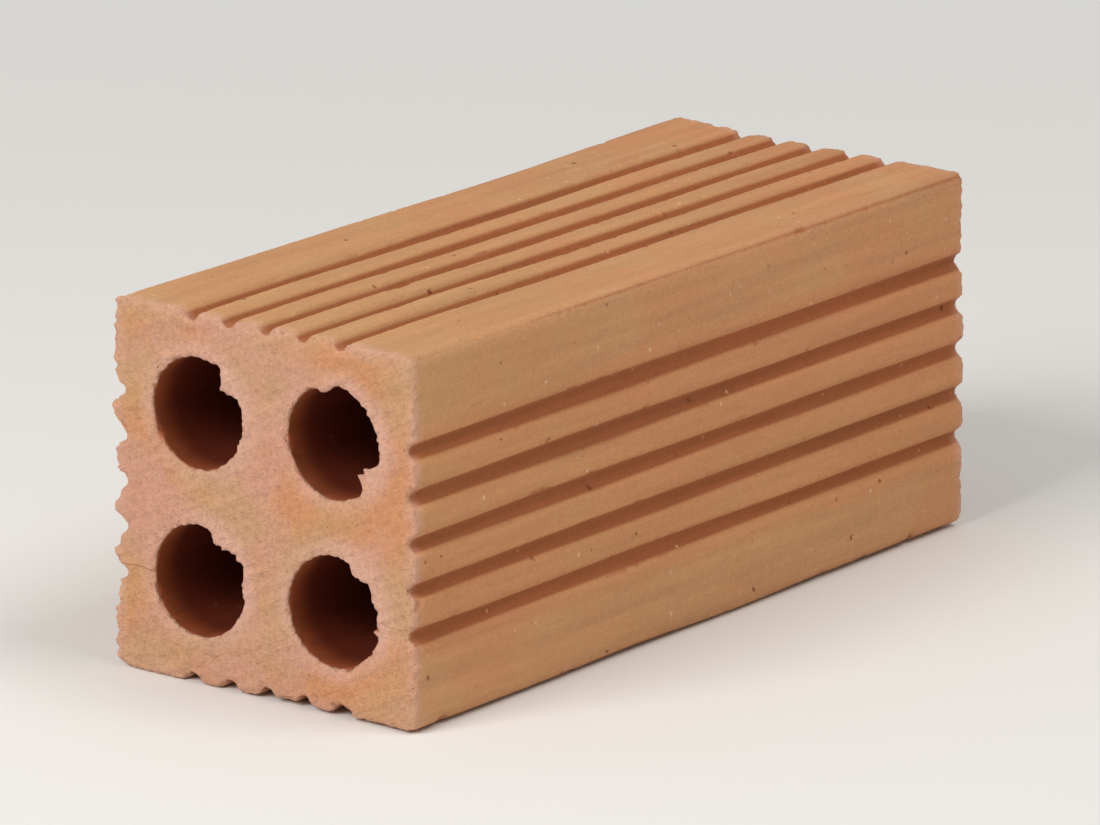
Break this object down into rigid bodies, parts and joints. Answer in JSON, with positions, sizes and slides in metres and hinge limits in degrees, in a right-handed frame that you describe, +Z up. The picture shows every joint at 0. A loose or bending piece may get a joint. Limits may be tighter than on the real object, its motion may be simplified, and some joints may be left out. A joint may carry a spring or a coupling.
{
  "type": "hollow clay brick",
  "caption": "Square fired-clay brick, extruded and wire-cut, with round holes from end to end and mortar grooves along its long faces.",
  "frame": {"origin": "middle of the face that the brick lies on", "axes": "+X along the brick and its holes, +Y across it, +Z up"},
  "size_m": [0.19, 0.08, 0.08],
  "materials": {
    "fired_clay": "matte"
  },
  "bodies": {
    "root": {"clay_brick": "fired_clay"}
  },
  "joints": []
}
